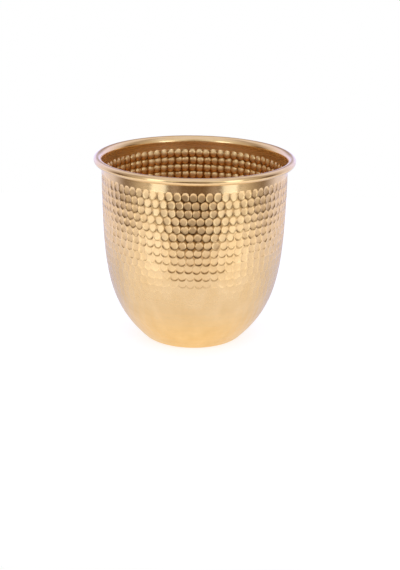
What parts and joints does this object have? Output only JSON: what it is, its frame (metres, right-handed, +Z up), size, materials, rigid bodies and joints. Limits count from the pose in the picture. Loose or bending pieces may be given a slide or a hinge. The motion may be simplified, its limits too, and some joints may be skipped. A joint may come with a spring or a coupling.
{
  "type": "hammered metal plant pot",
  "caption": "Round plant pot of hammered gold-coloured sheet metal, with a curved wall narrowing to a small flat base, a plain collar and a rolled, wired rim.",
  "frame": {"origin": "centre of the circle that the pot stands on", "axes": "+Z up along the pot's axis, through the mouth; the pot looks the same from every side"},
  "size_m": [0.1498, 0.1498, 0.14],
  "materials": {
    "gold_sheet": "satin polished, hammered in rows outside and showing as rows of bumps inside",
    "steel_wire": "plain drawn wire"
  },
  "bodies": {
    "root": {"hammered_pot_shell": "gold_sheet", "rim_wire": "steel_wire"}
  },
  "joints": []
}
